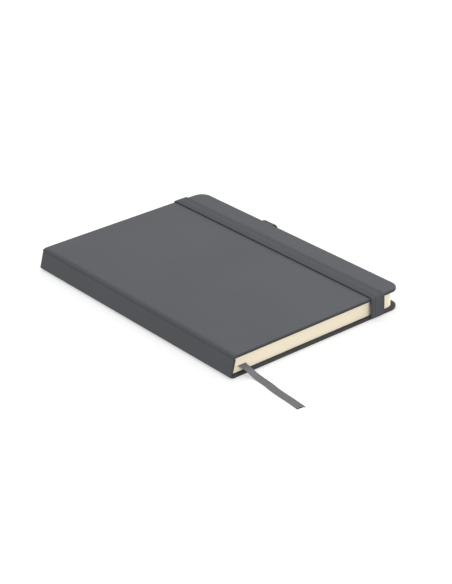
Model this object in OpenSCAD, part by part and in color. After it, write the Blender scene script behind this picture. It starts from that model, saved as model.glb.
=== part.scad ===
// A5 case-bound notebook with an elastic strap, a ribbon marker and a pen loop, lying on its back cover.
// X runs from the spine to the fore edge, Y from the tail to the head, and Z up.
// The origin is the centre of the back cover's outer face.

/* [Covers] */
// Width of the closed book, from the foot of the spine to the fore edge
book_w = 148; // [125:0.5:190]
// Height of the covers, from tail to head
book_h = 210; // [170:0.5:300]
// Radius of the covers' fore-edge corners, seen from above
corner_r = 8.5; // [4:0.5:12]
// Rounding along the outer edges of each cover
outer_edge_r = 1.1; // [0.7:0.1:1.3]
// Rounding along the inner edges of each cover
inner_edge_r = 0.5; // [0.3:0.1:0.7]
// Thickness of the covering
skin_t = 0.6; // [0.5:0.05:0.8]
// Thickness of the boards in the covers
board_t = 1.4; // [1.4:0.1:3]
// Rounding of the boards' edges
board_edge_r = 0.4; // [0.2:0.1:0.6]
// Thickness of the covering where it is turned in over a board
turn_in_t = 0.25; // [0.15:0.05:0.4]
// Width of the turned-in margin
turn_in_w = 12; // [9:0.5:18]
// Width of the soft slope between a cover's hinge line and its full thickness
groove_w = 3.6; // [3:0.1:6]

/* [Pages] */
// Thickness of the stack of pages
pages_t = 10.82; // [8:0.01:30]
// Thickness of the end papers
paper_t = 0.14; // [0.1:0.01:0.25]
// Thickness of the glue under the end papers
glue_t = 0.01; // [0.01:0.01:0.05]
// Room where an end paper steps down beside a turned-in edge
step_gap = 0.05; // [0.02:0.01:0.1]
// How far the covers stand out past the pages at head and tail
head_square = 2.75; // [1.5:0.25:5]
// How far the covers stand out past the pages at the fore edge
fore_square = 2.75; // [1.5:0.25:5]
// Radius of the pages' fore-edge corners
page_corner_r = 7.5; // [3:0.5:11]
// Rounding of the pages' spine at the front
spine_round_r = 2; // [0.5:0.25:3]
// Air between each cover and the leaf beside it
leaf_gap = 0.05; // [0.02:0.01:0.1]

/* [Spine] */
// How far the top of the spine is set back from its foot
spine_lean = 3; // [0:0.25:5]
// Thickness of the spine's board
spine_board_t = 1.2; // [0.8:0.1:2]
// How far the spine's board stops short of the spine's edges
spine_board_set = 0.4; // [0.2:0.1:1]
// Hollow between the spine and the pages' lining
hollow = 1.1; // [0.5:0.1:3]
// Thickness of the lining glued to the pages
lining_t = 0.4; // [0.2:0.1:0.8]
// How far the lining stops short of the pages at head and tail
lining_set = 4; // [0:0.5:15]
// How far each hinge line lies in from the spine's face
hinge_set = 0.3; // [0.2:0.05:0.6]
// Gap between the spine and each cover
hinge_gap = 0.3; // [0.2:0.05:0.5]
// From a hinge line to its board's edge
board_set = 1.6; // [1:0.1:2.5]

/* [Strap] */
// Width of the elastic strap
strap_w = 12; // [6:0.5:16]
// Middle of the strap, measured from the fore edge of the covers
strap_in = 22; // [16:0.5:60]
// Thickness of the strap between its ribs
strap_t = 0.7; // [0.4:0.05:0.9]
// How far the ribs stand out from the strap
rib_h = 0.2; // [0.1:0.05:0.3]
// Number of ribs along the strap
rib_count = 5; // [3:1:8]
// Width of the channel between two ribs
rib_gap = 0.5; // [0.3:0.1:1]
// From the covers' head and tail edges to the strap's slots
slot_in = 12.5; // [8:0.5:30]
// Length of each glued end of the strap inside the back cover
strap_end = 10; // [5:0.5:30]
// Clearance between the strap and what it passes
strap_gap = 0.1; // [0.05:0.05:0.3]
// Radius of the strap's bends, on their inner side
strap_bend_r = 1.2; // [0.8:0.1:2]

/* [Pen loop] */
// Radius of the loop's bore
loop_r = 4.7; // [3:0.05:7]
// Thickness of the loop's strip
loop_t = 0.5; // [0.3:0.05:0.55]
// Width of the strip, which is the loop's length
loop_w = 11; // [8:0.5:30]
// Middle of the loop, towards the head from the middle of the covers
loop_y = 39; // [-60:1:60]
// From the covers' fore edge to the middle of the bore
loop_out = 6.5; // [5:0.25:10]
// How far the strip's two legs run inside the back cover
loop_leg = 20; // [10:0.5:40]
// Clearance around the legs
loop_gap = 0.1; // [0.05:0.05:0.3]

/* [Ribbon] */
// Width of the ribbon marker
ribbon_w = 6; // [3:0.5:10]
// Thickness of the ribbon marker
ribbon_t = 0.3; // [0.2:0.05:0.5]
// Height of the ribbon between the pages
ribbon_z = 6.2; // [4:0.1:10]
// Clearance around the ribbon between the pages
ribbon_gap = 0.1; // [0.05:0.05:0.3]
// Middle of the ribbon, measured from the foot of the spine
ribbon_in = 11.5; // [9:0.5:40]
// How far the ribbon's glued end stops short of the covers' head edge
ribbon_set = 10; // [6:0.5:40]

/* [Hidden] */
$fn = 64;
cut = 1;               // how far a cutter runs past what it cuts
arc_steps = 6;         // straight steps in a small quarter arc
plan_steps = 16;       // straight steps in a corner seen from above

covering = "#5c5e62";
boards = "#9b9287";
paper = "#efe5cf";
cloth = "#b9b4a8";
webbing = "#56585c";

// Heights through the book
board_top = skin_t + board_t;
turn_in_top = board_top + turn_in_t;
cover_t = turn_in_top + glue_t + paper_t;
leaf_z = cover_t + leaf_gap;
pages_z = leaf_z + paper_t;
pages_top = pages_z + pages_t;
book_t = pages_top + paper_t + leaf_gap + cover_t;

// Half sizes seen from above
fore_x = book_w / 2;
edge_y = book_h / 2;
page_x = fore_x - fore_square;
page_y = edge_y - head_square;

// The leaning spine, its layers measured square to its face
spine_z = cover_t + hinge_gap;
spine_top = book_t - spine_z;
lean = atan(spine_lean / (spine_top - spine_z));
board_depth = skin_t + spine_board_t;
fold_depth = board_depth + turn_in_t;
lining_depth = fold_depth + hollow;
pages_depth = lining_depth + lining_t;

// Hinge lines of the two covers
back_hinge_x = -fore_x + hinge_set;
front_hinge_x = -fore_x + spine_lean + hinge_set;

// The strap's run
strap_x = fore_x - strap_in;
strap_full_t = strap_t + rib_h;
return_top = strap_gap / 2 + strap_full_t;
slot_y = edge_y - slot_in;
tab_top = board_top - strap_gap / 2;
cut_w = strap_w + 2 * strap_gap;  // width of the strap's channels and slots
rib_w = (strap_w - (rib_count - 1) * rib_gap) / rib_count;

// The pen loop's place
legs_top = board_top - loop_gap;
legs_z = legs_top - 2 * loop_t;
loop_x = fore_x + loop_out;
loop_z = legs_z + loop_t + loop_r;

// Ribbon's route: its middle line between the pages, then over the back cover's edge and along the table.
// The loose part is given from the foot of the spine at the tail.
ribbon_x = -fore_x + ribbon_in;
ribbon_top_y = edge_y - ribbon_set;
hidden_steps = 5;
hidden_run = [for (i = [0:hidden_steps])
    [ribbon_x, ribbon_top_y - (ribbon_top_y + page_y + ribbon_t) * i / hidden_steps, ribbon_z]];
loose_run = [
    [12, 1, 5.8], [12.9, -2, 4.5], [13.8, -5, 2.6], [14.5, -8, 1.1], [14.8, -11, 0.4], [14.7, -14, 0.25],
    [14.1, -20, 0.25], [13, -27, 0.25], [12.3, -34, 0.25], [11.9, -41, 0.25], [11.4, -47, 0.25], [10.6, -55, 0.25]
];
ribbon_route = concat(hidden_run, [for (p = loose_run) p + [-fore_x, -edge_y, 0]]);

// Points of a quarter arc (or any arc) round a centre
function arc(cx, cy, r, from, to, steps = arc_steps) =
    [for (i = [0:steps]) let (a = from + (to - from) * i / steps) [cx + r * cos(a), cy + r * sin(a)]];

// Where a plane of the spine lies at a height, for a layer at a depth behind the spine's face
function spine_x(depth, z) = -fore_x + depth / cos(lean) + (z - spine_z) * tan(lean);

// Height of a cover's outer face along the slope beside its hinge line, measured up from the flat
crease_z = turn_in_top - skin_t;
function slope_z(share) = crease_z * (1 + cos(180 * share)) / 2;

// A section in X and Z, drawn along Y
module along_y(from, to) {
    translate([0, to, 0]) rotate([90, 0, 0]) linear_extrude(to - from) children();
}

// A section in Y and Z, drawn along X
module along_x(from, to) {
    translate([from, 0, 0]) rotate([90, 0, 90]) linear_extrude(to - from) children();
}

// A sheet's outline with square corners at the spine and round ones at the fore edge
module sheet_outline(x0, x1, y1, r) {
    polygon(concat(
        [[x0, y1], [x0, -y1]],
        arc(x1 - r, -y1 + r, r, -90, 0, plan_steps),
        arc(x1 - r, y1 - r, r, 0, 90, plan_steps)
    ));
}

// Section of a plate's edge: reach is the distance out to the edge
module edge_section(reach, z0, z1, r_low, r_high) {
    polygon(concat(
        [[0, z1], [0, z0]],
        arc(reach - r_low, z0 + r_low, r_low, -90, 0),
        arc(reach - r_high, z1 - r_high, r_high, 0, 90)
    ));
}

// A plate whose head, tail and fore edges are rounded, with round fore-edge corners
module plate(x0, x1, y1, corner, z0, z1, r_low, r_high) {
    xc = x1 - corner;
    yc = y1 - corner;
    translate([x0, -yc, z0]) cube([xc - x0, 2 * yc, z1 - z0]);
    translate([xc, 0, 0]) along_y(-yc, yc) edge_section(corner, z0, z1, r_low, r_high);
    for (side = [-1, 1]) {
        translate([0, side * yc, 0]) scale_side(side) along_x(x0, xc) edge_section(corner, z0, z1, r_low, r_high);
        translate([xc, side * yc, 0]) rotate([0, 0, side < 0 ? -90 : 0])
            rotate_extrude(angle = 90) edge_section(corner, z0, z1, r_low, r_high);
    }
}

// The same shape, or its mirror image towards the tail
module scale_side(side) {
    if (side < 0) mirror([0, 1, 0]) children();
    else children();
}

// What is taken off a cover beside its hinge line, raised by up and moved in by over
module slope_cut(hinge_x, over = 0, up = 0) {
    along_y(-edge_y - cut, edge_y + cut) polygon(concat(
        [[hinge_x - cut, -cut], [hinge_x - cut, crease_z + up]],
        [for (i = [0:12]) [hinge_x + over + groove_w * i / 12, slope_z(i / 12) + up]],
        [[hinge_x + over + groove_w, -cut]]
    ));
}

// The inner window that a cover's turned-in margins leave free, filled from a height up
module window_block(hinge_x, from, height, inset = 0) {
    x0 = hinge_x + board_set + inset;
    y1 = edge_y - turn_in_w - inset;
    translate([x0, -y1, from]) cube([fore_x - turn_in_w - inset - x0, 2 * y1, height]);
}

// A cover's board, its outer face down
module cover_board(hinge_x) {
    difference() {
        plate(hinge_x + board_set, fore_x - skin_t, edge_y - skin_t, corner_r - skin_t, skin_t, board_top,
            board_edge_r, board_edge_r);
        slope_cut(hinge_x, skin_t, skin_t);
    }
}

// A cover's covering, wrapped round its board and turned in
module cover_skin(hinge_x) {
    difference() {
        plate(hinge_x, fore_x, edge_y, corner_r, 0, turn_in_top, outer_edge_r, inner_edge_r);
        slope_cut(hinge_x);
        cover_board(hinge_x);
        window_block(hinge_x, board_top, turn_in_t + cut);
    }
}

// The glued half of an end paper: it steps down from the turned-in margins onto the board
module cover_paper(hinge_x) {
    difference() {
        union() {
            translate([0, 0, turn_in_top + glue_t]) linear_extrude(paper_t)
                sheet_outline(hinge_x + hinge_set, page_x, page_y, page_corner_r);
            window_block(hinge_x, board_top + glue_t, turn_in_t + paper_t, step_gap);
        }
        window_block(hinge_x, board_top + glue_t + paper_t, turn_in_t + cut, step_gap + paper_t);
    }
}

// Turns a cover that lies on its outer face over, onto the top of the book
module as_front() {
    translate([0, 0, book_t]) mirror([0, 0, 1]) children();
}

// A leaning layer of the spine between two depths, its outer corners at head and tail rounded
module spine_layer(depth0, depth1, z0, z1, y1, r) {
    long = 3 * book_t;
    intersection() {
        translate([-fore_x, 0, spine_z]) rotate([0, lean, 0]) translate([0, 0, -long / 2]) linear_extrude(long)
            polygon(concat(
                [[depth1, -y1], [depth1, y1]],
                r > 0 ? arc(depth0 + r, y1 - r, r, 90, 180) : [[depth0, y1]],
                r > 0 ? arc(depth0 + r, -y1 + r, r, 180, 270) : [[depth0, -y1]]
            ));
        translate([-book_w, -book_h, z0]) cube([2 * book_w, 2 * book_h, z1 - z0]);
    }
}

// The channels in the back cover's outer face that the strap's two returns lie in, rounded at the cover's edge
module strap_channels() {
    top = return_top + strap_gap;
    r = strap_bend_r;
    for (side = [-1, 1]) scale_side(side) along_x(strap_x - cut_w / 2, strap_x + cut_w / 2) polygon(concat(
        [[slot_y - strap_gap, -cut], [slot_y - strap_gap, top]],
        arc(edge_y - r, top + r, r, -90, 0),
        [[edge_y + cut, top + r], [edge_y + cut, -cut]]
    ));
}

// The slots through the board, and the pockets in its inner face that the strap's ends lie in
module strap_slots() {
    for (side = [-1, 1]) scale_side(side) translate([strap_x - cut_w / 2, 0, 0]) {
        translate([0, slot_y - strap_gap, 0]) cube([cut_w, strap_full_t + 2 * strap_gap, board_top + cut]);
        translate([0, slot_y + strap_full_t - strap_end - strap_gap, tab_top - strap_full_t - strap_gap])
            cube([cut_w, strap_end, strap_full_t + cut]);
    }
}

// The pocket that the pen loop's legs take up in the back cover
module leg_cut() {
    translate([fore_x - loop_leg - loop_gap, loop_y - loop_w / 2 - loop_gap, legs_z - loop_gap])
        cube([loop_leg + loop_gap + cut, loop_w + 2 * loop_gap, turn_in_top - legs_z + loop_gap + cut]);
}

// The pages: one block with a leaning spine, round fore-edge corners and the ribbon's slit
module page_block() {
    r = spine_round_r;
    top_x = spine_x(pages_depth, pages_top);
    color(paper) difference() {
        intersection() {
            translate([0, 0, pages_z]) linear_extrude(pages_t)
                sheet_outline(-book_w, page_x, page_y, page_corner_r);
            along_y(-edge_y, edge_y) polygon(concat(
                [[spine_x(pages_depth, pages_z), pages_z], [fore_x, pages_z], [fore_x, pages_top]],
                arc(top_x + r, pages_top - r, r, 90, 180 - lean)
            ));
        }
        translate([ribbon_x - ribbon_w / 2 - ribbon_gap, -edge_y, ribbon_z - ribbon_t / 2 - ribbon_gap])
            cube([ribbon_w + 2 * ribbon_gap, edge_y + ribbon_top_y + ribbon_gap,
                ribbon_t + 2 * ribbon_gap]);
    }
}

module front_flyleaf() {
    color(paper) translate([0, 0, pages_top]) linear_extrude(paper_t)
        sheet_outline(spine_x(pages_depth, pages_top) + spine_round_r, page_x, page_y, page_corner_r);
}

module back_flyleaf() {
    color(paper) translate([0, 0, leaf_z]) linear_extrude(paper_t)
        sheet_outline(spine_x(pages_depth, pages_z), page_x, page_y, page_corner_r);
}

module spine_lining() {
    color(cloth) spine_layer(lining_depth, pages_depth, pages_z, pages_top - spine_round_r,
        page_y - lining_set, 0);
}

module spine_board() {
    color(boards) spine_layer(skin_t, board_depth, spine_z + spine_board_set, spine_top - spine_board_set,
        edge_y - skin_t, board_edge_r);
}

// The spine's covering, wrapped over the ends of its board and turned in behind it
module spine_skin() {
    color(covering) difference() {
        spine_layer(0, fold_depth, spine_z, spine_top, edge_y, outer_edge_r);
        spine_board();
        spine_layer(board_depth, fold_depth + cut, 0, book_t, edge_y - turn_in_w, 0);
    }
}

// The ribbon: a flat strip swept along its route, lying level all the way
module bookmark_ribbon() {
    half_w = ribbon_w / 2;
    half_t = ribbon_t / 2;
    last = len(ribbon_route) - 1;
    section = [
        [half_w, -half_t / 2], [half_w, half_t / 2], [half_w - half_t, half_t], [half_t - half_w, half_t],
        [-half_w, half_t / 2], [-half_w, -half_t / 2], [half_t - half_w, -half_t], [half_w - half_t, -half_t]
    ];
    sides = len(section);
    points = [for (i = [0:last])
        let (
            before = ribbon_route[max(i - 1, 0)],
            after = ribbon_route[min(i + 1, last)],
            run = (after - before) / norm(after - before),
            across = [-run[1], run[0], 0] / norm([run[0], run[1]]),
            up = cross(run, across)
        )
        for (s = section) ribbon_route[i] - across * s[0] + up * s[1]];
    walls = [for (i = [0:last - 1]) for (k = [0:sides - 1])
        let (a = i * sides + k, b = i * sides + (k + 1) % sides)
        [a, b, b + sides, a + sides]];
    color(webbing) polyhedron(points, concat(
        [[for (k = [0:sides - 1]) sides - 1 - k]],
        walls,
        [[for (k = [0:sides - 1]) last * sides + k]]
    ));
}

module front_board() {
    color(boards) as_front() cover_board(front_hinge_x);
}

module front_skin() {
    color(covering) as_front() cover_skin(front_hinge_x);
}

module front_pastedown() {
    color(paper) as_front() cover_paper(front_hinge_x);
}

module back_board() {
    color(boards) difference() {
        cover_board(back_hinge_x);
        strap_channels();
        strap_slots();
        leg_cut();
    }
}

module back_skin() {
    color(covering) difference() {
        cover_skin(back_hinge_x);
        strap_channels();
        leg_cut();
    }
}

module back_pastedown() {
    color(paper) cover_paper(back_hinge_x);
}

// The pen loop: a round loop whose two legs lie one on the other inside the back cover
module pen_loop() {
    color(webbing) translate([0, loop_y, 0]) difference() {
        union() {
            translate([loop_x, loop_w / 2, loop_z]) rotate([90, 0, 0]) cylinder(h = loop_w, r = loop_r + loop_t);
            translate([fore_x - loop_leg, -loop_w / 2, legs_z])
                cube([loop_leg + loop_out, loop_w, 2 * loop_t]);
        }
        translate([loop_x, loop_w / 2 + cut, loop_z]) rotate([90, 0, 0])
            cylinder(h = loop_w + 2 * cut, r = loop_r);
    }
}

// A rectangle in Y and Z with round corners
module round_frame(y1, z0, z1, r) {
    polygon(concat(
        arc(y1 - r, z0 + r, r, -90, 0), arc(y1 - r, z1 - r, r, 0, 90),
        arc(r - y1, z1 - r, r, 90, 180), arc(r - y1, z0 + r, r, 180, 270)
    ));
}

// Side view of the strap at a thickness: over the front cover, round both edges, through the slots
module strap_run(thick) {
    inner_y = edge_y + strap_gap;
    inner_top = book_t + strap_gap;
    difference() {
        round_frame(inner_y + thick, return_top - thick, inner_top + thick, strap_bend_r + thick);
        round_frame(inner_y, return_top, inner_top, strap_bend_r);
        translate([-slot_y, -cut]) square([2 * slot_y, return_top + 2 * cut]);
    }
}

// The strap's ends: up through the slots and along the board's inner face
module strap_ends() {
    for (side = [-1, 1]) mirror([side < 0 ? 1 : 0, 0]) {
        translate([slot_y, return_top - strap_t]) square([strap_full_t, tab_top - return_top + strap_t]);
        translate([slot_y + strap_full_t - strap_end, tab_top - strap_full_t])
            square([strap_end, strap_full_t]);
    }
}

module elastic_band() {
    color(webbing) {
        along_x(strap_x - strap_w / 2, strap_x + strap_w / 2) {
            strap_run(strap_t);
            strap_ends();
        }
        for (i = [0:rib_count - 1]) {
            rib_x = strap_x - strap_w / 2 + i * (rib_w + rib_gap);
            along_x(rib_x, rib_x + rib_w) strap_run(strap_full_t);
        }
    }
}

page_block();
front_flyleaf();
back_flyleaf();
spine_lining();
spine_board();
spine_skin();
bookmark_ribbon();
front_board();
front_skin();
front_pastedown();
back_board();
back_skin();
back_pastedown();
pen_loop();
elastic_band();
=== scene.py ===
import random
from math import atan, cos, degrees, pi, radians, sin, sqrt, tan

import bmesh
import bpy
from mathutils import Matrix, Vector


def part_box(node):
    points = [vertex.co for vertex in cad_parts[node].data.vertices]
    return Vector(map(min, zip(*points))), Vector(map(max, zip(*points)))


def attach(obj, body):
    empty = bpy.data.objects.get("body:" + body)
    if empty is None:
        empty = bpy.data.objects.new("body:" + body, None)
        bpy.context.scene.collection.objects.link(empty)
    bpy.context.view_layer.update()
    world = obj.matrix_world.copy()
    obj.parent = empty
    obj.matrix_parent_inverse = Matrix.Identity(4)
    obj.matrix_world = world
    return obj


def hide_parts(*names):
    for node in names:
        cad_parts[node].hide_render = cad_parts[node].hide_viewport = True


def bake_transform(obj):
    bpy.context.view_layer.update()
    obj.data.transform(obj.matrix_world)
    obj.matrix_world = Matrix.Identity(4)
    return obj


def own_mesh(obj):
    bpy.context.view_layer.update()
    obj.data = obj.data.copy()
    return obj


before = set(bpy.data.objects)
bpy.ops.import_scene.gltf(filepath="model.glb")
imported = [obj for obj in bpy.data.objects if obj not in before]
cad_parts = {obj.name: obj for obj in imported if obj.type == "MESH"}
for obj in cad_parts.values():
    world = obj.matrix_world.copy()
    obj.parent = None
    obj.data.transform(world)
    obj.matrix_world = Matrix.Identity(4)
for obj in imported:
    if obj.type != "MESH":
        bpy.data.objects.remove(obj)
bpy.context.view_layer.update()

# The camera. A long lens a little over a metre off looks down on the closed notebook from the corner
# where the spine meets the tail. The straight edges of the covers in the photograph give its place.
mm = 0.001
view_azimuth = radians(-38.844)
view_elevation = radians(26.962)
view_roll = radians(-1.448)
view_distance = 1197.4
view_target = Vector((-8.4, -21.47, 8))
frame_height = 584
focal_pixels = 1778.9
sensor_height = 36


def view_axes(azimuth, elevation, roll):
    """Right, up and backward directions of a camera that looks from an azimuth and an elevation."""
    back = Vector((sin(azimuth) * cos(elevation), -cos(azimuth) * cos(elevation), sin(elevation)))
    level = Vector((cos(azimuth), sin(azimuth), 0))
    upright = back.cross(level)
    right = level * cos(roll) + upright * sin(roll)
    return right, back.cross(right), back


camera_data = bpy.data.cameras.new("camera")
camera_data.lens = focal_pixels * sensor_height / frame_height
camera_data.sensor_width = sensor_height
camera_data.clip_end = 20
camera = bpy.data.objects.new("camera", camera_data)
bpy.context.collection.objects.link(camera)
right, up, back = view_axes(view_azimuth, view_elevation, view_roll)
place = (view_target + back * view_distance) * mm
camera.matrix_world = Matrix.Translation(place) @ Matrix((right, up, back)).transposed().to_4x4()
bpy.context.scene.camera = camera
bpy.context.scene.view_settings.view_transform = "Standard"

# The ribbon marker. A woven polyester satin ribbon, glued in near the head. It lies between the pages,
# leaves them at the tail, bends over the back cover's edge and ends on the table in an unsewn cut.
ribbon_width = 6
ribbon_thick = 0.3
ribbon_height = 6.2
ribbon_steps = 6
ribbon_places = 12
ribbon_ridge = 0.03
ribbon_edge_share = 0.25
ribbon_rounded_from = 0.94
selvedge_span = (0.8, 0.98)
ribbon_thread = 0.16
ribbon_pick = 0.3
selvedge_wide = 0.55
selvedge_even = 0.25
satin_rough = 0.5
satin_relief = 0.03
slub_stretch = (0.15, 4, 1)
ribbon_cut_depth = 0.9
ribbon_cut_slant = 0.5
ribbon_x = -62.5
ribbon_head_y = 95
ribbon_held = 197.55
held_steps = 5
ribbon_hidden = [(ribbon_x, ribbon_head_y - ribbon_held * i / held_steps, ribbon_height)
                 for i in range(held_steps + 1)]
ribbon_loose = [
    (-62, -104, 5.8), (-61.1, -107, 4.5), (-60.2, -110, 2.6), (-59.5, -113, 1.1),
    (-59.2, -116, 0.4), (-59.3, -119, 0.25), (-59.9, -125, 0.25), (-61, -132, 0.25),
    (-61.7, -139, 0.25), (-62.1, -146, 0.25), (-62.6, -152, 0.25), (-63.4, -160, 0.25)
]
ribbon_colour = (103, 105, 108)
ribbon_shade = (90, 92, 95)


class Wire:
    """A value on its way through a material: arithmetic on it adds the Math nodes."""

    def __init__(self, tree, socket=None):
        self.tree = tree
        self.socket = socket

    def node(self, kind, settings=None, sockets=None, output=0):
        """Any other node: its type, settings, the values or wires of its sockets, and its output."""
        node = self.tree.nodes.new(kind)
        for name, value in (settings or {}).items():
            setattr(node, name, value)
        for name, value in (sockets or {}).items():
            if isinstance(value, Wire):
                self.tree.links.new(value.socket, node.inputs[name])
            else:
                node.inputs[name].default_value = value
        return Wire(self.tree, node.outputs[output] if node.outputs else None)

    def maths(self, operation, *others):
        """A Math node on this value and then the others."""
        return self.node("ShaderNodeMath", {"operation": operation}, dict(enumerate((self, *others))))

    def __add__(self, other):
        return self.maths("ADD", other)

    __radd__ = __add__

    def __sub__(self, other):
        return self.maths("SUBTRACT", other)

    def __rsub__(self, other):
        return self * -1 + other

    def __mul__(self, other):
        return self.maths("MULTIPLY", other)

    __rmul__ = __mul__

    def between(self, low, high):
        """0 below low, 1 above high, and smooth between them."""
        sockets = {"Value": self, "From Min": low, "From Max": high}
        return self.node("ShaderNodeMapRange", {"interpolation_type": "SMOOTHSTEP"}, sockets)

    def wave(self, pitch):
        """Between 0 and 1 and back, once for each pitch."""
        return (self * (2 * pi / pitch)).maths("SINE") * 0.5 + 0.5

    def blend(self, first, second):
        """The first colour where this is 0 and the second where it is 1."""
        return self.node("ShaderNodeMix", {"data_type": "RGBA"}, {0: self, 6: first, 7: second}, 2)

    def stretched(self, x, y, z):
        """This vector, scaled by a number along each axis."""
        settings = {"operation": "MULTIPLY"}
        return self.node("ShaderNodeVectorMath", settings, {0: self, 1: (x, y, z)})

    def noise(self, scale, detail=2):
        return self.node("ShaderNodeTexNoise", None, {"Vector": self, "Scale": scale, "Detail": detail})

    def parts(self):
        """The three parts of this vector."""
        return [self.node("ShaderNodeSeparateXYZ", None, {0: self}, axis) for axis in range(3)]


def paint(red, green, blue):
    """A colour given as it looks on a screen, 0 to 255, as the linear colour that a shader takes."""
    def linear(part):
        part = part / 255
        return part / 12.92 if part <= 0.04045 else ((part + 0.055) / 1.055) ** 2.4
    return (linear(red), linear(green), linear(blue), 1)


def new_material(name):
    """An empty material and the wire that its nodes start from."""
    material = bpy.data.materials.new(name)
    material.use_nodes = True
    material.node_tree.nodes.clear()
    return material, Wire(material.node_tree)


def lay_of(start):
    """Where a point lies on the flat stuff of its own piece, in millimetres."""
    settings = {"attribute_name": "lay", "attribute_type": "GEOMETRY"}
    return start.node("ShaderNodeAttribute", settings, None, 1)


def finish_surface(start, colour, roughness, height, depth, fixed=None):
    """Ends a material: what varies over it, a bump of a depth in mm, and fixed socket values."""
    sockets = {"Base Color": colour, "Roughness": roughness}
    bump = {"Height": height, "Strength": 1.0, "Distance": depth * mm}
    sockets["Normal"] = start.node("ShaderNodeBump", None, bump)
    sockets.update(fixed or {})
    surface = start.node("ShaderNodeBsdfPrincipled", None, sockets)
    start.node("ShaderNodeOutputMaterial", None, {"Surface": surface})


def woven_satin(name, colour, shade):
    """Satin ribbon: fine floating threads along it, a dense selvedge at each side."""
    material, start = new_material(name)
    lay = lay_of(start)
    along, across, _ = lay.parts()
    threads = across.wave(ribbon_thread)
    picks = along.wave(ribbon_pick)
    slubs = lay.stretched(*slub_stretch).noise(2, 3)
    half = ribbon_width / 2
    edge = across.maths("ABSOLUTE").between(half - selvedge_wide, half - selvedge_even)
    body = (threads * 0.35 + slubs * 0.65).blend(paint(*shade), paint(*colour))
    tone = (edge * 0.5).blend(body, paint(*shade))
    height = threads * (1 - edge) + picks * (edge * 0.8 + 0.2)
    finish_surface(start, tone, satin_rough + slubs * 0.15, height, satin_relief,
                   {"Sheen Weight": 0.15})
    return material


def sheet_shell(front, back):
    """Points and faces of a closed sheet between two like grids of points."""
    rows, columns = len(front), len(front[0])
    layer = rows * columns
    faces = []
    for row in range(rows - 1):
        for column in range(columns - 1):
            near = row * columns + column
            corners = [near, near + 1, near + columns + 1, near + columns]
            faces.append(corners)
            faces.append([corner + layer for corner in reversed(corners)])
            rims = (row == 0, column == columns - 2, row == rows - 2, column == 0)
            for side, rim in enumerate(rims):
                if rim:
                    one, two = corners[side], corners[(side + 1) % 4]
                    faces.append([two, one, one + layer, two + layer])
    return [point for grid in (front, back) for row in grid for point in row], faces


weld_reach = 0.002


def make_piece(name, points, faces, material, lay=None, sharp=40, drawn=None):
    """A smooth mesh piece from points in millimetres. lay says where each point is on the flat stuff,
    and drawn how much painted shade darkens it there, from 0 to 1."""
    mesh = bpy.data.meshes.new(name)
    mesh.from_pydata([Vector(point) * mm for point in points], [], faces)
    attribute = mesh.attributes.new("lay", "FLOAT_VECTOR", "POINT")
    attribute.data.foreach_set("vector", [part for point in (lay or points) for part in point])
    attribute = mesh.attributes.new("drawn", "FLOAT", "POINT")
    attribute.data.foreach_set("value", drawn or [0] * len(points))
    work = bmesh.new()
    work.from_mesh(mesh)
    bmesh.ops.remove_doubles(work, verts=work.verts, dist=weld_reach * mm)
    bmesh.ops.recalc_face_normals(work, faces=work.faces)
    work.to_mesh(mesh)
    work.free()
    mesh.shade_smooth()
    mesh.set_sharp_from_angle(angle=radians(sharp))
    mesh.materials.append(material)
    piece = bpy.data.objects.new(name, mesh)
    bpy.context.collection.objects.link(piece)
    return piece


def smooth_line(points, steps):
    """A smooth line through points, with a number of steps from each to the next."""
    line = []
    for i in range(len(points) - 1):
        near_by = [min(max(k, 0), len(points) - 1) for k in range(i - 1, i + 3)]
        before, here, there, after = (Vector(points[k]) for k in near_by)
        for step in range(steps):
            t = step / steps
            bend = (there - before) * t + (2 * before - 5 * here + 4 * there - after) * t ** 2
            line.append(here + (bend + (3 * here - before - 3 * there + after) * t ** 3) / 2)
    return line + [Vector(points[-1])]


def ribbon_section():
    """Across the ribbon: (place, height of its upper side), a little proud at the two selvedges."""
    section = []
    for i in range(ribbon_places + 1):
        place = -cos(pi * i / ribbon_places) * ribbon_width / 2
        share = abs(place) * 2 / ribbon_width
        past = max(0, (share - ribbon_rounded_from) / (1 - ribbon_rounded_from))
        round_off = sqrt(max(0, 1 - past ** 2))
        selvedge = ribbon_ridge if selvedge_span[0] < share < selvedge_span[1] else 0
        height = ribbon_thick / 2 - ribbon_ridge + selvedge
        section.append((place, height * (ribbon_edge_share + (1 - ribbon_edge_share) * round_off)))
    return section


ribbon_line = ribbon_hidden[:-1] + smooth_line([ribbon_hidden[-1]] + ribbon_loose, ribbon_steps)
ribbon_line = [Vector(point) for point in ribbon_line]
ribbon_top, ribbon_under, ribbon_lay, along = [], [], [], 0
for i, point in enumerate(ribbon_line):
    before = ribbon_line[max(i - 1, 0)]
    after = ribbon_line[min(i + 1, len(ribbon_line) - 1)]
    run = (after - before).normalized()
    across = Vector((-run.y, run.x, 0)).normalized()
    upward = run.cross(across)
    along += (point - before).length
    last = i == len(ribbon_line) - 1
    upper, lower = [], []
    for place, height in ribbon_section():
        share = 2 * place / ribbon_width
        cut_back = 0
        if last:
            cut_back = ribbon_cut_depth * (1 - share ** 2) + ribbon_cut_slant * (1 + share)
        middle = point - across * place - run * cut_back
        upper.append(middle + upward * height)
        lower.append(middle - upward * height)
        ribbon_lay.append((along - cut_back, place, 0))
    ribbon_top.append(upper)
    ribbon_under.append(lower)
ribbon_points, ribbon_faces = sheet_shell(ribbon_top, ribbon_under)
ribbon = make_piece("woven_ribbon", ribbon_points, ribbon_faces,
                    woven_satin("ribbon_satin", ribbon_colour, ribbon_shade), ribbon_lay * 2)
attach(ribbon, "book_block")
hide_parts("bookmark_ribbon")
ribbon_line[0] * mm
[point * mm for point in ribbon_line]

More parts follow.
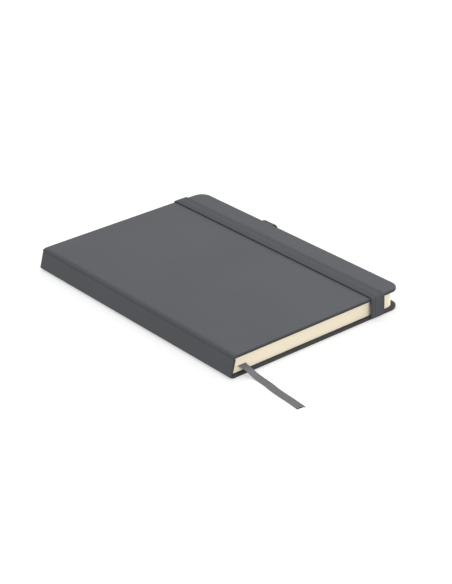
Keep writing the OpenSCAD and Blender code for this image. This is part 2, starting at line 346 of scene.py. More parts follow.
# The covering over the front cover and the spine. One sheet of soft-touch leatherette, a matt coating
# on a backing. It is glued over the boards, pressed into the joint beside the spine, and turned in.
covering_thick = 0.6
turn_in_thick = 0.25
spine_board_thick = 1.2
corner_radius = 8.5
least_corner = 0.3
edge_round = 1.1
inner_round = 0.5
board_round = 0.4
joint_width = 3.6
slot_far = 12.55
slot_near = 11.5
slot_side = 0.05
turn_in_width = 12
face_rows = (14, slot_far + slot_side, slot_far, slot_near, 9, 6.5, 4, 2.2)
turn_rows = (2, 5, 8.5, turn_in_width)
inner_share = 0.3
thick_share = 0.6
board_share = 0.45
least_board = 0.02
round_steps = 6
corner_steps = 18
joint_steps = 14
seam_height = 3.0
spine_levels = (4.5, 7, 10, 12.9, 13.4)
joint_level = 13.55
joint_share = 0.12
joint_turns = [(-25, 1.7), (-38, 1.25), (-52, 0.95), (-68, 0.75), (-80, 0.68)]
front_flats = (-40, 0, 40)
end_crease = 0.8
end_reach = 14
pleat_count = 7
pleat_height = 0.09
pebble_scale = 3.2
cloud_scale = 0.02
fibre_scale = 7
covering_rough = 0.62
covering_relief = 0.035
covering_colour = (86, 88, 92)
covering_shade = (81, 83, 86)
# Painted shade: the covering is darkened round its outer edges, over its turned-in margins and down the
# joint's crease, where shade falls.
drawn_colour = (54, 55, 58)
crease_drawn = 0.35


def box_mm(node):
    """A CAD node's lowest and highest corners in millimetres."""
    low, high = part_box(node)
    return low / mm, high / mm


front_low, front_high = box_mm("front_skin")
back_low, back_high = box_mm("back_skin")
spine_low, spine_high = box_mm("spine_skin")
fore_x, edge_y, book_thick = front_high
cover_depth = back_high.z - back_low.z
crease_depth = cover_depth - covering_thick
spine_depth = covering_thick + spine_board_thick + turn_in_thick
spine_lean = atan((front_low.x - back_low.x) / (spine_high.z - spine_low.z))


def soft_leatherette(name):
    """Matt soft-touch covering: fine pebble grain, faint clouding, nothing printed on it, and painted
    shade round its edges, over its turned-in margins and down the joint's crease.
    """
    material, start = new_material(name)
    lay = lay_of(start)
    clouds = lay.noise(cloud_scale, 3)
    pebble = lay.node("ShaderNodeTexVoronoi", {"feature": "SMOOTH_F1"},
                      {"Vector": lay, "Scale": pebble_scale})
    fibre = lay.noise(fibre_scale)
    light = clouds.between(0.3, 0.7) * 0.7 + pebble * 0.5
    face = light.blend(paint(*covering_shade), paint(*covering_colour))
    # Painted shade, kept on each point, darkens the edges, the turned-in margins and the crease.
    drawn = start.node("ShaderNodeAttribute", {"attribute_name": "drawn"}, None, 2)
    tone = drawn.blend(face, paint(*drawn_colour))
    height = pebble * 0.7 + fibre * 0.3
    finish_surface(start, tone, covering_rough + clouds * 0.1, height, covering_relief,
                   {"Specular IOR Level": 0.3})
    return material


def quarter(steps):
    """Angles from 0 to a quarter turn, a number of steps apart."""
    return [pi / 2 * i / steps for i in range(steps + 1)]


def edge_rows(depth, thick=covering_thick, turned=turn_in_thick, face=0, inner=inner_round):
    """How the covering runs over an edge, as (distance in from the edge, depth under the outer face):
    its outside, from the face round the edge to the turned-in margin, and then its inside, back again.
    Where there is little depth, beside the joint, the thickness and the roundings are shares of it."""
    inner = min(inner, depth * inner_share)
    tall = min(edge_round, depth - face - inner)
    thin = min(thick, depth * thick_share)
    near = face + thin
    far = max(depth - turned, near + least_board)
    board = min(board_round, (far - near) * board_share)
    plain = thin if not face else covering_thick
    outside = [(row, face if row <= slot_far else 0) for row in face_rows]
    outside += [(edge_round * (1 - sin(a)), face + tall * (1 - cos(a))) for a in quarter(round_steps)]
    outside += [(inner * (1 - cos(a)), depth - inner + inner * sin(a)) for a in quarter(round_steps)]
    outside += [(row, depth) for row in turn_rows]
    inside = [(row, far) for row in reversed(turn_rows)]
    edge = covering_thick
    turns = quarter(round_steps)
    inside += [(edge + board * (1 - sin(a)), far - board * (1 - cos(a))) for a in turns]
    inside += [(edge + board * (1 - cos(a)), near + board * (1 - sin(a))) for a in turns]
    inside += [(row, near if row <= slot_far else plain) for row in reversed(face_rows)]
    return outside + inside


def inward(angle):
    """The direction in X and Z at an angle above +X, in degrees."""
    return Vector((cos(radians(angle)), 0, sin(radians(angle))))


def curve_point(start, middle, end, t):
    """A point on the curve that leaves start towards middle and reaches end from it."""
    return start * (1 - t) ** 2 + middle * (2 * t * (1 - t)) + end * t ** 2


def spine_face(height):
    """The outer face of the leaning spine at a height."""
    return Vector((spine_low.x + (height - spine_low.z) * tan(spine_lean), 0, height))


def slope(share, depth=crease_depth):
    """Depth of the outer face under the cover's flat, along the shoulder above the joint's crease."""
    return depth * (1 - share) ** 2


def pleated(rows, angle):
    """The turned-in margin at a round corner, where the covering is nipped into small pleats."""
    count = len(rows) // 2
    fold = pleat_height * (0.5 + 0.5 * cos(4 * pleat_count * angle))
    first = count - len(turn_rows)
    return [(i, d + (fold if first <= k < count - 1 else 0)) for k, (i, d) in enumerate(rows)]


def wrapped_covering(name, material, sides, outer_z, way, fore_stations=(), slot_columns=()):
    """A covering wrapped round a cover. sides are its stations from the spine to the fore-edge corner:
    a point of the outer face, the direction into the cover, the rows over the edge there, and where the
    joint is shallower at head and tail, the outer face at those ends."""
    flat_rows = edge_rows(cover_depth)

    def side_column(station, y_way):
        outer, into, rows, *ends = station
        deep = max(d for _, d in rows)
        inner = outer + into * deep
        column = []
        for i, d in rows:
            share = min(max((end_reach - i) / (end_reach - edge_round), 0), 1)
            face = outer.lerp(ends[0], share * share * (3 - 2 * share)) if ends else outer
            point = face.lerp(inner, d / deep)
            limit = fore_x - i - max(corner_radius - i, least_corner)
            column.append((min(point.x, limit), y_way * (edge_y - i), point.z))
        return column

    def corner_column(angle, y_way):
        column = []
        for i, d in pleated(flat_rows, angle):
            radius = max(corner_radius - i, least_corner)
            x = fore_x - i - radius + radius * sin(angle)
            y = edge_y - i - radius + radius * cos(angle)
            column.append((x, y_way * y, outer_z + way * d))
        return column

    turns = [pi / 2 * k / corner_steps for k in range(1, corner_steps + 1)]
    tail = [side_column(station, -1) for station in sides] + [corner_column(a, -1) for a in turns]
    fore = [[(fore_x - i, y, outer_z + way * d) for i, d in rows] for y, rows in fore_stations]
    head = [side_column(station, 1) for station in sides] + [corner_column(a, 1) for a in turns]
    columns = tail + fore + head[::-1]
    half, count, total = len(tail), len(columns), len(flat_rows)
    outside = total // 2
    hole_rows = (face_rows.index(slot_far), total - 2 - face_rows.index(slot_far))
    hole_columns = [*slot_columns] + [count - 2 - k for k in slot_columns]

    def at(column, row):
        return column * total + row

    faces = []
    for k in range(count - 1):
        for row in range(total - 1):
            if not (k in hole_columns and row in hole_rows):
                faces.append([at(k, row), at(k, row + 1), at(k + 1, row + 1), at(k + 1, row)])
        if k in hole_columns:
            row, under = hole_rows[0], hole_rows[1] + 1
            ring = [at(k, row), at(k, row + 1), at(k + 1, row + 1), at(k + 1, row)]
            below = [at(k, under), at(k, under - 1), at(k + 1, under - 1), at(k + 1, under)]
            faces += [[ring[i], ring[(i + 1) % 4], below[(i + 1) % 4], below[i]] for i in range(4)]
    for row in (0, total - 1):
        for k in range(half - 2):
            faces.append([at(k, row), at(k + 1, row), at(count - 2 - k, row), at(count - 1 - k, row)])
        faces.append([at(k, row) for k in range(half - 2, count - half + 2)])
    for end in (0, count - 1):
        for row in range(outside - 1):
            rows = (row, row + 1, total - 2 - row, total - 1 - row)
            faces.append([at(end, each) for each in rows])
    faces.append([at(0, 0), at(count - 1, 0), at(count - 1, total - 1), at(0, total - 1)])
    points = [point for column in columns for point in column]
    # Painted shade: it rises round the outer edge, is full over the turned-in margin, and lies down the
    # joint's crease, darker where the crease is deeper.
    round_edge = [sin(a) for a in quarter(round_steps)]
    edge = [0] * len(face_rows) + round_edge + [1] * (outside - len(face_rows) - len(round_edge))
    edge += [0] * (total - len(edge))
    joint = [crease_drawn * ((outer_z - station[0].z) / crease_depth) ** 2 if len(station) > 3 else 0
             for station in sides]
    joint = [min(part, crease_drawn) for part in joint] + [0] * (half - len(sides))
    across = joint + [0] * len(fore) + joint[::-1]
    drawn = [max(part, fold) for fold in across for part in edge]
    return make_piece(name, points, faces, material, drawn=drawn)


spine_rows = edge_rows(spine_depth)
front_stations = [(spine_face(seam_height), inward(0), spine_rows)]
lean_degrees = degrees(spine_lean)
front_stations += [(spine_face(z), inward(-lean_degrees), spine_rows) for z in spine_levels]
crease = spine_face(book_thick - crease_depth)
end_point = spine_face(book_thick - end_crease)
joint_start = spine_face(joint_level)


def shoulder(share, low, depth):
    """The outer face of the front joint, at a share of the way from its crease to the cover's flat."""
    x = low.x + (crease.x + joint_width - low.x) * share
    return Vector((x, 0, book_thick - slope(share, depth)))


for step, (angle, depth) in enumerate(joint_turns):
    t = step / len(joint_turns)
    outer = curve_point(joint_start, crease, shoulder(joint_share, crease, crease_depth), t)
    ends = curve_point(joint_start, end_point, shoulder(joint_share, end_point, end_crease), t)
    front_stations.append((outer, inward(angle), edge_rows(depth), ends))
for step in range(joint_steps + 1):
    share = joint_share + (1 - joint_share) * step / joint_steps
    outer = shoulder(share, crease, crease_depth)
    ends = shoulder(share, end_point, end_crease)
    front_stations.append((outer, inward(-90), edge_rows(cover_depth - slope(share)), ends))
for x in (*front_flats, fore_x - corner_radius):
    front_stations.append((Vector((x, 0, book_thick)), inward(-90), edge_rows(cover_depth)))
leatherette = soft_leatherette("soft_leatherette")
front_covering = wrapped_covering("front_covering", leatherette, front_stations, book_thick, -1)
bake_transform(front_covering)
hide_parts("front_skin", "spine_skin")

# The covering over the back cover, the same sheet carried on under the spine. It is pressed down into
# two channels for the strap, slit where the strap goes in, and open at the fore edge for the pen loop.
strap_low, strap_high = box_mm("elastic_band")
loop_low, loop_high = box_mm("pen_loop")
channel_depth = 1.0
channel_lining = 0.04
channel_side = 0.05
channel_room = 0.1
notch_room = 0.1
notch_floor = 0.83
notch_lining = 0.04
notch_round = 0.2
foot_height = 2.85
foot_bend_height = 1.8
foot_share = 0.16
foot_turns = [(0, 2.05), (8, 1.25), (22, 0.85), (40, 0.7), (60, 0.64), (78, 0.6)]

back_stations = [(spine_face(seam_height), inward(0), spine_rows)]
foot_start = spine_face(foot_height)
foot_bend = spine_face(foot_bend_height)
foot_end = Vector((back_low.x + foot_share * joint_width, 0, slope(foot_share)))
for step, (angle, depth) in enumerate(foot_turns):
    outer = curve_point(foot_start, foot_bend, foot_end, step / len(foot_turns))
    back_stations.append((outer, inward(angle), edge_rows(depth)))
for step in range(joint_steps + 1):
    share = foot_share + (1 - foot_share) * step / joint_steps
    outer = Vector((back_low.x + share * joint_width, 0, slope(share)))
    back_stations.append((outer, inward(90), edge_rows(cover_depth - slope(share))))
channel_rows = edge_rows(cover_depth, channel_lining, face=channel_depth)
channel_low = strap_low.x - channel_room
channel_high = strap_high.x + channel_room
flat_stations = [(-40, False), (0, False), (channel_low, False), (channel_low + channel_side, True),
                 (channel_high - channel_side, True), (channel_high, False),
                 (fore_x - corner_radius, False)]
for x, sunk in flat_stations:
    if sunk and x < (channel_low + channel_high) / 2:
        slit_column = len(back_stations)
    rows = channel_rows if sunk else edge_rows(cover_depth)
    back_stations.append((Vector((x, 0, 0)), inward(90), rows))
notch_rows = edge_rows(notch_floor, turned=notch_lining, inner=notch_round)
notch_low = loop_low.y - notch_room
notch_high = loop_high.y + notch_room
notch = [(notch_low, edge_rows(cover_depth)), (notch_low + channel_side, notch_rows),
         (notch_high - channel_side, notch_rows), (notch_high, edge_rows(cover_depth))]
back_covering = wrapped_covering("back_covering", leatherette, back_stations, 0, 1,
                                 notch, [slit_column])
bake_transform(back_covering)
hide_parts("back_skin")

# The pages. Sheets of cream paper in sewn sections, cut smooth on three sides. Each sheet is a little
# out of line with the next, and the ribbon between two of them lifts those near it at head and tail.
pages_low, pages_high = box_mm("page_block")
flyleaf_low, flyleaf_high = box_mm("front_flyleaf")
page_corner = 7.5
sheets_below = 32
sheets_above = 66
section_sheets = 14
sheet_uneven = 0.05
spine_round = 2
section_round = 0.22
ribbon_lift = 0.2
lift_reach = 3.4
lift_spread = 4.5
lift_steps = 6
page_corner_steps = 12
page_stations = (-48, -20, 20, 50)
spine_clear = 3.5
closed_gap = 0.004
sheet_seed = 7
sheet_lines = (0.03, 0.03, 7)
sheet_tone = 0.45
paper_clouds = 0.05
paper_fibres = 5
paper_rough = 0.85
paper_relief = 0.04
page_colour = (250, 240, 217)
page_shade = (245, 233, 208)


def cut_paper(name, lines):
    """Cream paper; lines is how strongly the edges of its sheets show."""
    material, start = new_material(name)
    lay = lay_of(start)
    edges = lay.stretched(*sheet_lines).noise(1, 3)
    clouds = lay.noise(paper_clouds)
    fibre = lay.noise(paper_fibres, 3)
    dark = edges.between(0.35, 0.65) * lines + clouds * 0.25 + fibre * 0.1
    tone = dark.blend(paint(*page_colour), paint(*page_shade))
    finish_surface(start, tone, paper_rough + fibre * 0.1, edges * lines + fibre * 0.3, paper_relief,
                   {"Specular IOR Level": 0.25})
    return material


def lift(x):
    """How far the ribbon holds the sheets apart, across the pages."""
    share = min(max((abs(x - ribbon_x) - lift_reach) / lift_spread, 0), 1)
    return ribbon_lift * (1 - share * share * (3 - 2 * share)) + closed_gap


def block_spine(height):
    """Where the back of the sewn pages is at a height: leaning, and rounded over at the front."""
    centre = Vector((flyleaf_low.x, 0, pages_high.z - spine_round))
    join = centre + inward(180 - lean_degrees) * spine_round
    if height > join.z:
        rise = min(height - centre.z, spine_round)
        return centre.x - sqrt(spine_round ** 2 - rise ** 2)
    return pages_low.x + (join.x - pages_low.x) * (height - pages_low.z) / (join.z - pages_low.z)


def page_stack(low, high, count, first):
    """Points and faces of a stack of sheets between two heights. first is its lowest sheet's number,
    0 for the stack under the ribbon."""
    under = first == 0
    columns = [lift_reach + lift_spread * k / lift_steps for k in range(lift_steps + 1)]
    stations = [ribbon_x + side * reach for side in (-1, 1) for reach in columns]
    stations += [ribbon_x, *page_stations]
    stations = sorted(x for x in stations if x > pages_low.x + spine_clear)
    turns = quarter(page_corner_steps)
    points, faces = [], []
    for sheet in range(count):
        inset = random.uniform(0, sheet_uneven)
        wave = random.uniform(-1, 1) * sheet_uneven
        place = ((first + sheet) % section_sheets + 0.5) / section_sheets * 2 - 1
        fold = section_round * (1 - sqrt(1 - place ** 2))
        for edge in (0, 1):
            height = low + (high - low) * (sheet + edge) / count
            share = 1 - (high - height if under else height - low) / (high - low)
            lifted = (-1 if under else 1) * max(0, share * 2 - 1)
            radius = page_corner - inset
            row = [(block_spine(height) + fold, pages_high.y - inset)]
            row += [(x, pages_high.y - inset) for x in stations]
            row += [(pages_high.x - page_corner + radius * sin(a) + wave * 0.5,
                     pages_high.y - page_corner + radius * cos(a)) for a in turns]
            tail = [(x, -y, height + lifted * lift(x)) for x, y in row]
            head = [(x, y, height + lifted * lift(x)) for x, y in row]
            points += tail + head[::-1]
    ring = 2 * len(row)
    half = len(row)
    for level in range(2 * count - 1):
        base = level * ring
        faces += [[base + k, base + (k + 1) % ring, base + ring + (k + 1) % ring, base + ring + k]
                  for k in range(ring)]
    for base in (0, (2 * count - 1) * ring):
        faces += [[base + k, base + k + 1, base + ring - 2 - k, base + ring - 1 - k]
                  for k in range(half - 1)]
    return points, faces


random.seed(sheet_seed)
lower_points, lower_faces = page_stack(pages_low.z, ribbon_height, sheets_below, 0)
upper_points, upper_faces = page_stack(ribbon_height, pages_high.z, sheets_above, sheets_below)
upper_faces = [[corner + len(lower_points) for corner in face] for face in upper_faces]
sewn_pages = make_piece("sewn_pages", lower_points + upper_points, lower_faces + upper_faces,
                        cut_paper("page_edges", sheet_tone), sharp=30)
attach(sewn_pages, "book_block")
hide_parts("page_block")

# The end papers. Each is one folded sheet of heavier cream paper: one half is tipped onto the pages,
# and the other is glued down inside a cover, over the turned-in margins, whose step shows through.
paper_thick = 0.14
pasted_depth = 2.33
window_step = 0.25
board_set = 1.6
fold_in = 0.9
fold_run = 0.5
step_run = 0.5
step_start = 0.1
step_end = 0.4
fold_steps = 16
end_paper_rows = 10
end_paper_flats = (-40, 0, 30)
end_paper_level = 50
leaf_lay = 400


def half_height(x):
    """Half the height of a page at a place across it, less at the round corners."""
    over = max(0, x - (pages_high.x - page_corner))
    return pages_high.y - page_corner + sqrt(max(0, page_corner ** 2 - over ** 2))


def folded_sheet(name, material, hinge_x, leaf_depth, outer_z, way):
    """An end paper of a cover, whose outer face is at a height: pasted half, fold and free half."""
    fold_x = hinge_x + fold_in
    window_x = (hinge_x + board_set, fore_x - turn_in_width)
    window_y = edge_y - turn_in_width
    corner_x = pages_high.x - page_corner
    rounding = [page_corner * sin(a) for a in quarter(end_paper_rows)[1:]]
    stations = [fold_x + fold_run, window_x[0] + step_start, window_x[0] + step_run, *end_paper_flats]
    stations += [window_x[1] - step_run, window_x[1], window_x[1] + step_end, corner_x]
    stations += [corner_x + over for over in rounding]
    radius = (leaf_depth - pasted_depth) / 2
    half_thick = paper_thick / 2
    corner_y = pages_high.y - page_corner
    rows = [0, end_paper_level, window_y - step_run, window_y, window_y + step_end, corner_y]
    rows += [corner_y + over for over in rounding]
    rows = [-y for y in reversed(rows[1:])] + rows
    line = [(x, pasted_depth, -1, 0, True) for x in reversed(stations)]
    middle = pasted_depth + radius
    for k in range(fold_steps + 1):
        turn = pi * k / fold_steps
        x, depth = fold_x - radius * sin(turn), middle - radius * cos(turn)
        line.append((x, depth, -cos(turn), -sin(turn), False))
    line += [(x, leaf_depth, 1, 0, False) for x in stations]

    def sunk(x, y):
        """How far the pasted half lies down in the window that the margins leave."""
        inside = min(x - window_x[0], window_x[1] - x, window_y - abs(y))
        share = min(max(inside / step_run, 0), 1)
        return window_step * share * share * (3 - 2 * share)

    def drawn_in(y, top):
        """Where a row is that runs round the corners, at a place where the page ends at top."""
        if abs(y) <= corner_y:
            return y
        reach = corner_y + (abs(y) - corner_y) / page_corner * (top - corner_y)
        return reach if y > 0 else -reach

    outer, inner, lay = [], [], []
    for x, depth, facing, sideways, pasted in line:
        ys = [drawn_in(y, half_height(x)) for y in rows]
        drop = [sunk(x, y) if pasted else 0 for y in ys]
        far_side, near_side = [], []
        aside, aloft = sideways * half_thick, facing * half_thick
        for y, fall in zip(ys, drop):
            centre = depth - fall
            far_side.append((x + aside, y, outer_z + way * (centre + aloft)))
            near_side.append((x - aside, y, outer_z + way * (centre - aloft)))
            lay.append((x if pasted else leaf_lay - x, y, 0))
        outer.append(far_side)
        inner.append(near_side)
    points, faces = sheet_shell(outer, inner)
    return make_piece(name, points, faces, material, lay * 2)


end_paper_stuff = cut_paper("end_paper", 0)
front_leaf = book_thick - (flyleaf_low.z + flyleaf_high.z) / 2
back_leaf = sum(corner.z for corner in box_mm("back_flyleaf")) / 2
front_end_paper = folded_sheet("front_end_paper", end_paper_stuff, front_low.x, front_leaf,
                               book_thick, -1)
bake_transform(front_end_paper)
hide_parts("front_pastedown", "front_flyleaf")
back_end_paper = folded_sheet("back_end_paper", end_paper_stuff, back_low.x, back_leaf, 0, 1)
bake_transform(back_end_paper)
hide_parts("back_pastedown", "back_flyleaf")

# The boards and the lining. Grey board, pressed from waste paper, stiffens both covers and the spine.
# A strip of open cotton cloth is glued over the backs of the sewn sections.
board_colour = (158, 150, 138)
board_shade = (132, 124, 113)
cloth_colour = (196, 190, 176)
cloth_shade = (150, 144, 130)
cloth_thread = 0.9
fleck_scale = 1.6
layer_stretch = (0.4, 0.4, 6)
board_rough = 0.85
board_relief = 0.06
cloth_rough = 0.8
cloth_relief = 0.08


def object_place(start):
    """A point's place on its own piece, in millimetres."""
    place = start.node("ShaderNodeTexCoord", None, None, 3)
    return place.stretched(1 / mm, 1 / mm, 1 / mm)


def grey_board(name):
    """Pressed board with flecks of other paper in it."""
    material, start = new_material(name)
    place = object_place(start)
    flecks = place.noise(fleck_scale, 5)
    layers = place.stretched(*layer_stretch).noise(1, 3)
    light = flecks.between(0.3, 0.7) * 0.7 + layers * 0.3
    tone = light.blend(paint(*board_shade), paint(*board_colour))
    finish_surface(start, tone, board_rough + flecks * 0.1, flecks + layers, board_relief)
    return material


def open_cloth(name):
    """Open cotton cloth stiffened with glue."""
    material, start = new_material(name)
    place = object_place(start)
    _, along, up = place.parts()
    weave = along.wave(cloth_thread).maths("MAXIMUM", up.wave(cloth_thread))
    tone = weave.between(0.35, 0.8).blend(paint(*cloth_shade), paint(*cloth_colour))
    finish_surface(start, tone, cloth_rough + place.noise(3) * 0.1, weave, cloth_relief)
    return material


def dress_node(node, material):
    """A CAD node whose shape is right takes a finer material."""
    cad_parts[node].data.materials.clear()
    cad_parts[node].data.materials.append(material)


board_stuff = grey_board("grey_board")
for node in ("front_board", "back_board", "spine_board"):
    dress_node(node, board_stuff)
dress_node("spine_lining", open_cloth("spine_cloth"))

# The strap. Knitted elastic webbing with soft ribs along it, round the closed covers. Its ends go
# through slits in the back cover and are glued to the board's inner face, under the end paper.
strap_bend = 1.2
strap_bend_steps = 12
strap_places = (90, 60, 30, 0, -30, -60, -90)
strap_under = 0.95
strap_slot_rise = 1
strap_core = 0.7
strap_side_share = 0.6
strap_full = 0.9
strap_ribs = ((0, 1), (1.3, 3.2), (3.6, 8.4), (8.8, 10.7), (11, 12))
rib_relief = 0.08
strap_crown = 0.12
rib_points = 9
# How much of the knit's colour is left in the grooves, the rest being painted shade: across the covers
# and round the bends.
groove_unshaded_flat = 0.8
groove_unshaded_bent = 0.4
bend_reach = 5
rib_side = 0.25
side_soft = 0.3
side_lift = 0.35
strap_head_width = 0.93
strap_head_shift = 0.5
strap_gap = 0.1
slot_in = 12.5
slot_y = edge_y - slot_in
strap_end = 10
wale_pitch = 0.42
stitch_pitch = 0.55
stitch_slant = 1.5
fuzz_stretch = (0.3, 2, 1)
elastic_rough = 0.72
elastic_relief = 0.05
strap_colour = (90, 92, 96)
# The strap's dark colour is the dark of the knit and also the painted shade in its grooves and down its
# side walls.
strap_knit_dark_and_painted_shade = (50, 52, 56)


def knitted_elastic(name, colour, shade):
    """Knitted webbing: rows of small stitches along it, and painted shade in its grooves and down its
    sides.
    """
    material, start = new_material(name)
    lay = lay_of(start)
    along, across, unshaded_share = lay.parts()
    wales = across.wave(wale_pitch)
    slant = along * (2 * pi / stitch_pitch) + wales * stitch_slant
    stitches = slant.maths("SINE") * 0.5 + 0.5
    fuzz = lay.stretched(*fuzz_stretch).noise(1.5, 3)
    thread = (stitches * 0.3 + wales * 0.3 + fuzz * 0.4).blend(paint(*shade), paint(*colour))
    # Painted shade where the third part of lay is below 1: in the grooves and on the side walls.
    tone = unshaded_share.blend(paint(*shade), thread)
    height = stitches * 0.5 + wales * 0.5
    finish_surface(start, tone, elastic_rough + fuzz * 0.1, height, elastic_relief,
                   {"Specular IOR Level": 0.3, "Sheen Weight": 0.05, "Sheen Roughness": 0.4})
    return material


def rib_section(width):
    """Across the strap: (place, height above the core, share of the full rib). The rubber threads make
    the ribs, and the whole is a little crowned."""
    section = []
    for left, right in strap_ribs:
        for k in range(rib_points):
            place = left + (right - left) * (1 - cos(pi * k / (rib_points - 1))) / 2
            side = min(place - left, right - place, rib_side) / rib_side
            rib = sqrt(1 - (1 - side) ** 2)
            crown = 1 - (2 * place / width - 1) ** 2
            section.append((place - width / 2, rib_relief * rib + strap_crown * crown, rib))
    return section


def strap_line():
    """The strap's book side, as (y, z, outward y, outward z), from its tail end to its head end."""
    bend_y = edge_y + strap_gap - strap_bend
    top_z = book_thick + strap_gap
    high_z = top_z - strap_bend
    low_z = strap_under + strap_bend
    glued_z = strap_under + strap_slot_rise
    turns = quarter(strap_bend_steps)
    half = [(bend_y + strap_bend * sin(a), high_z + strap_bend * cos(a), sin(a), cos(a))
            for a in turns]
    half += [(bend_y + strap_bend * cos(a), low_z - strap_bend * sin(a), cos(a), -sin(a))
             for a in turns]
    half += [(slot_y + strap_full, strap_under, -1, -1), (slot_y + strap_full, glued_z, -1, -1)]
    half += [(slot_y + strap_full - strap_end, glued_z, 0, -1)]
    across_top = [(y, top_z, 0, 1) for y in reversed(strap_places)]
    return [(-y, z, -oy, oz) for y, z, oy, oz in reversed(half)] + across_top + half


def share_to_head(y):
    """Where a point is between the tail, 0, and the head, 1."""
    return (y + edge_y) / (2 * edge_y)


strap_x = (strap_low.x + strap_high.x) / 2
strap_half = (strap_high.x - strap_low.x) / 2
section = rib_section(2 * strap_half)
strap_out, strap_in, strap_lay, under_lay = [], [], [], []
run = 0
line = strap_line()
for index, (y, z, out_y, out_z) in enumerate(line):
    if index:
        run += sqrt((y - line[index - 1][0]) ** 2 + (z - line[index - 1][1]) ** 2)
    share = share_to_head(y)
    middle = strap_x + strap_head_shift * share
    width = 1 + (strap_head_width - 1) * share
    # How much painted shade lies in the grooves: more round the bends at head and tail than across the
    # covers.
    parted = min(max((abs(y) - edge_y + bend_reach) / bend_reach, 0), 1)
    groove_unshaded = groove_unshaded_flat + (groove_unshaded_bent - groove_unshaded_flat) * parted
    upper, lower = [], []
    for place, rise, rib in section:
        soft = min(1, (strap_half - abs(place)) / side_soft)
        thick = strap_core * (strap_side_share + (1 - strap_side_share) * sqrt(soft)) + rise
        raised = side_lift * (1 - soft)
        x = middle + place * width
        upper.append((x, y + out_y * thick, z + out_z * thick))
        lower.append((x, y + out_y * raised, z + out_z * raised))
        # The third part of lay is how much of the knit's colour shows; the side walls take full painted
        # shade.
        strap_lay.append((run, place, groove_unshaded + (1 - groove_unshaded) * rib if soft else 0))
        under_lay.append((run, place, 0))
    strap_out.append(upper)
    strap_in.append(lower)
points, faces = sheet_shell(strap_out, strap_in)
elastic_strap = make_piece("elastic_strap", points, faces,
                           knitted_elastic("strap_elastic", strap_colour, strap_knit_dark_and_painted_shade),
                           strap_lay + under_lay, sharp=50)
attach(elastic_strap, "elastic")
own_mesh(elastic_strap)
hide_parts("elastic_band")

# The pen loop. A short strip of the same webbing, folded round, with both legs glued one on the other
# into the fore edge of the back cover. It takes the barrel of a pen.
loop_thick = 0.5
loop_radius = 4.7
loop_x = loop_high.x - loop_radius - loop_thick
loop_z = loop_high.z - loop_radius - loop_thick
loop_fillet = 1.2
loop_steps = 40
fillet_steps = 8
loop_places = 24
loop_leg = 10
loop_rib = 1.5
loop_rib_depth = 0.15
loop_side = 0.3
loop_side_share = 0.3


def loop_line():
    """The strip's middle line as (x, z, outward x, outward z): lower leg, round loop, upper leg."""
    lower_z = loop_low.z + loop_thick / 2
    upper_z = lower_z + loop_thick
    middle = loop_radius + loop_thick / 2
    rise = loop_z - upper_z - loop_fillet
    fillet_x = loop_x - sqrt((middle + loop_fillet) ** 2 - rise ** 2)
    close = pi + atan(rise / (loop_x - fillet_x))
    line = [(x, lower_z, 0, -1) for x in (loop_low.x, fore_x - loop_leg, fore_x)]
    for k in range(loop_steps + 1):
        a = -pi / 2 + (close + pi / 2) * k / loop_steps
        line.append((loop_x + middle * cos(a), loop_z + middle * sin(a), cos(a), sin(a)))
    for k in range(1, fillet_steps + 1):
        a = close - pi - (close - pi / 2) * k / fillet_steps
        line.append((fillet_x + loop_fillet * cos(a), upper_z + loop_fillet + loop_fillet * sin(a),
                     -cos(a), -sin(a)))
    return line + [(x, upper_z, 0, 1) for x in (fore_x - loop_leg, loop_low.x)]


loop_y = (loop_low.y + loop_high.y) / 2
loop_half = (loop_high.y - loop_low.y) / 2
places = [-cos(pi * k / loop_places) * loop_half for k in range(loop_places + 1)]
heights = [loop_side_share + (1 - loop_side_share) * min(1, (loop_half - abs(place)) / loop_side)
           for place in places]
ribs = [1 - loop_rib_depth + loop_rib_depth * cos(2 * pi * place / loop_rib) for place in places]
thick = [loop_thick / 2 * h * r for h, r in zip(heights, ribs)]
loop_out, loop_in, loop_lay = [], [], []
run = 0
line = loop_line()
for index, (x, z, out_x, out_z) in enumerate(line):
    if index:
        run += sqrt((x - line[index - 1][0]) ** 2 + (z - line[index - 1][1]) ** 2)
    loop_out.append([(x + out_x * t, loop_y + p, z + out_z * t) for p, t in zip(places, thick)])
    loop_in.append([(x - out_x * t, loop_y + p, z - out_z * t) for p, t in zip(places, thick)])
    loop_lay += [(run, place, 1) for place in places]
points, faces = sheet_shell(loop_out, loop_in)
webbing_loop = make_piece("webbing_loop", points, faces,
                          knitted_elastic("loop_elastic", strap_colour, strap_knit_dark_and_painted_shade), loop_lay * 2)
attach(webbing_loop, "back_cover")
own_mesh(webbing_loop)
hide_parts("pen_loop")

# The table and the light. A white sweep of paper under the notebook, and a pale surround. A soft lamp
# beside the fore edge lays the strap's shadow on the cover, a low one reaches the pages at the tail,
# and one overhead fills. The first two don't light the table, which keeps its soft shadow.
floor_size = 12
floor_bounce = 0.85
floor_seen = 0.83
floor_glow = 0.5
surround = 0.62


def grey_of(level):
    """A grey without a tint."""
    return (level, level, level, 1)


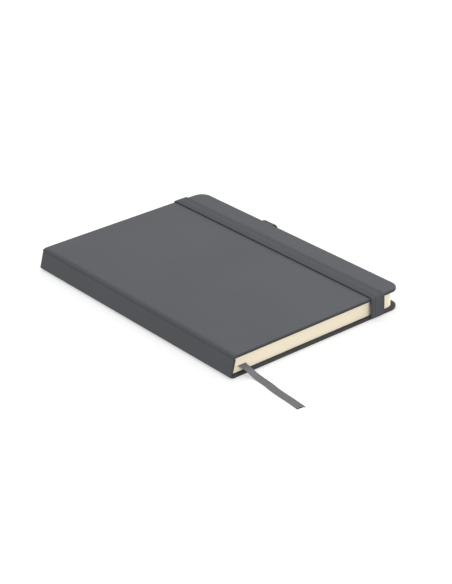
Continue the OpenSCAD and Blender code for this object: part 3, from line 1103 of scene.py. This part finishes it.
floor_mesh = bpy.data.meshes.new("table")
corners = [(-1, -1), (1, -1), (1, 1), (-1, 1)]
corners = [(x * floor_size / 2, y * floor_size / 2, 0) for x, y in corners]
floor_mesh.from_pydata(corners, [], [(0, 1, 2, 3)])
floor = bpy.data.objects.new("table", floor_mesh)
bpy.context.collection.objects.link(floor)


def seen_directly(start):
    """1 for what the camera sees straight, in a mirror or through glass, 0 for light that bounces."""
    rays = [start.node("ShaderNodeLightPath", None, None, name)
            for name in ("Is Camera Ray", "Is Glossy Ray", "Is Transmission Ray")]
    return rays[0].maths("MAXIMUM", rays[1]).maths("MAXIMUM", rays[2])


floor_paper, start = new_material("white_sweep")
seen = seen_directly(start)
grey = seen.blend(grey_of(floor_bounce), grey_of(floor_seen))
matt = start.node("ShaderNodeBsdfDiffuse", None, {"Color": grey})
lit = seen.blend(grey_of(0), grey_of(floor_glow))
glow = start.node("ShaderNodeEmission", None, {"Color": lit})
both = start.node("ShaderNodeAddShader", None, {0: matt, 1: glow})
start.node("ShaderNodeOutputMaterial", None, {"Surface": both})
floor_mesh.materials.append(floor_paper)

world = bpy.data.worlds.new("surround")
world.use_nodes = True
world.node_tree.nodes.clear()
bpy.context.scene.world = world
start = Wire(world.node_tree)
strength = seen_directly(start) * (1 - surround) + surround
sky = start.node("ShaderNodeBackground", None, {"Color": grey_of(1), "Strength": strength})
start.node("ShaderNodeOutputWorld", None, {"Surface": sky})


def soft_lamp(name, size, power, place):
    """A square lamp at a place in metres, turned towards the notebook."""
    lamp_data = bpy.data.lights.new(name, "AREA")
    lamp_data.size = size
    lamp_data.energy = power
    lamp = bpy.data.objects.new(name, lamp_data)
    bpy.context.collection.objects.link(lamp)
    lamp.location = place
    lamp.rotation_euler = (-Vector(place)).to_track_quat("-Z", "Y").to_euler()
    return lamp


beside = soft_lamp("beside_fore_edge", size=1.2, power=26, place=(1.95, -0.1, 1.1))
low = soft_lamp("low_beyond_tail", size=0.8, power=11, place=(-0.45, -1.6, 0.4))
soft_lamp("overhead", size=1.6, power=3.2, place=(0.2, 0, 1.8))
unlit = bpy.data.collections.new("not_lit_from_the_side")
unlit.objects.link(floor)
unlit.collection_objects[0].light_linking.link_state = "EXCLUDE"
for lamp in (beside, low):
    lamp.light_linking.receiver_collection = unlit
